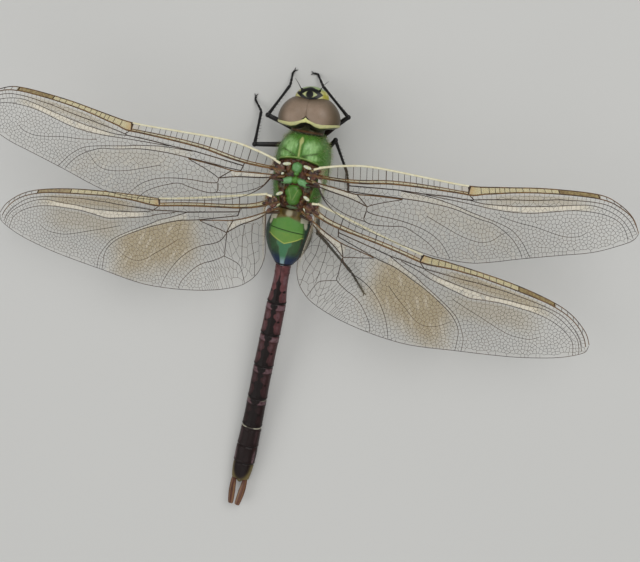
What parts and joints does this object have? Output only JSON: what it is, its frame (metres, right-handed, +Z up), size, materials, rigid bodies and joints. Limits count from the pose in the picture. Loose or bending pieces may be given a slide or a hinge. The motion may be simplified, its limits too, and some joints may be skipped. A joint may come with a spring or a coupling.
{
  "type": "common green darner dragonfly",
  "caption": "Life-size dragonfly at rest on its legs: spread net-veined wings, large brown eyes, green thorax and a long slender banded abdomen.",
  "frame": {"origin": "centre of the bounding box, at floor level", "axes": "+Z up, the head looks along -Y, and +X is towards the insect's left wings"},
  "size_m": [0.1141, 0.0816, 0.0172],
  "materials": {
    "thorax": "glossy green shell with a fine down",
    "neck": "dull dark neck plates",
    "head": "waxy yellow-green face with a black and blue-green eyespot",
    "eyes": "smooth glossy brown",
    "antennae": "dark",
    "wings": "clear membrane with an amber tint, dark veins and a pale leading edge",
    "abdomen_front": "glossy green turning blue-green",
    "abdomen": "glossy red-brown with a dark pattern along the back",
    "end_pieces": "brown",
    "legs": "shiny near-black"
  },
  "bodies": {
    "root": {"thorax": "thorax", "thorax_back": "thorax", "prothorax": "neck", "head": "head", "frons": "head", "clypeus": "head", "labrum": "head", "labium": "head", "eye_left": "eyes", "eye_right": "eyes", "antenna_left": "antennae", "antenna_right": "antennae", "forewing_left": "wings", "forewing_right": "wings", "hindwing_left": "wings", "hindwing_right": "wings", "abdomen_1": "abdomen_front", "abdomen_2": "abdomen_front", "abdomen_3": "abdomen", "abdomen_4": "abdomen", "abdomen_5": "abdomen", "abdomen_6": "abdomen", "abdomen_7": "abdomen", "abdomen_8": "abdomen", "abdomen_9": "abdomen", "abdomen_10": "abdomen", "ovipositor": "end_pieces", "cercus_left": "end_pieces", "cercus_right": "end_pieces", "leg_fore_left_femur": "legs", "leg_fore_left_tibia": "legs", "leg_fore_left_tarsus": "legs", "leg_fore_right_femur": "legs", "leg_fore_right_tibia": "legs", "leg_fore_right_tarsus": "legs", "leg_middle_left_femur": "legs", "leg_middle_left_tibia": "legs", "leg_middle_left_tarsus": "legs", "leg_middle_right_femur": "legs", "leg_middle_right_tibia": "legs", "leg_middle_right_tarsus": "legs", "leg_hind_left_femur": "legs", "leg_hind_left_tibia": "legs", "leg_hind_left_tarsus": "legs", "leg_hind_right_femur": "legs", "leg_hind_right_tibia": "legs", "leg_hind_right_tarsus": "legs"}
  },
  "joints": []
}
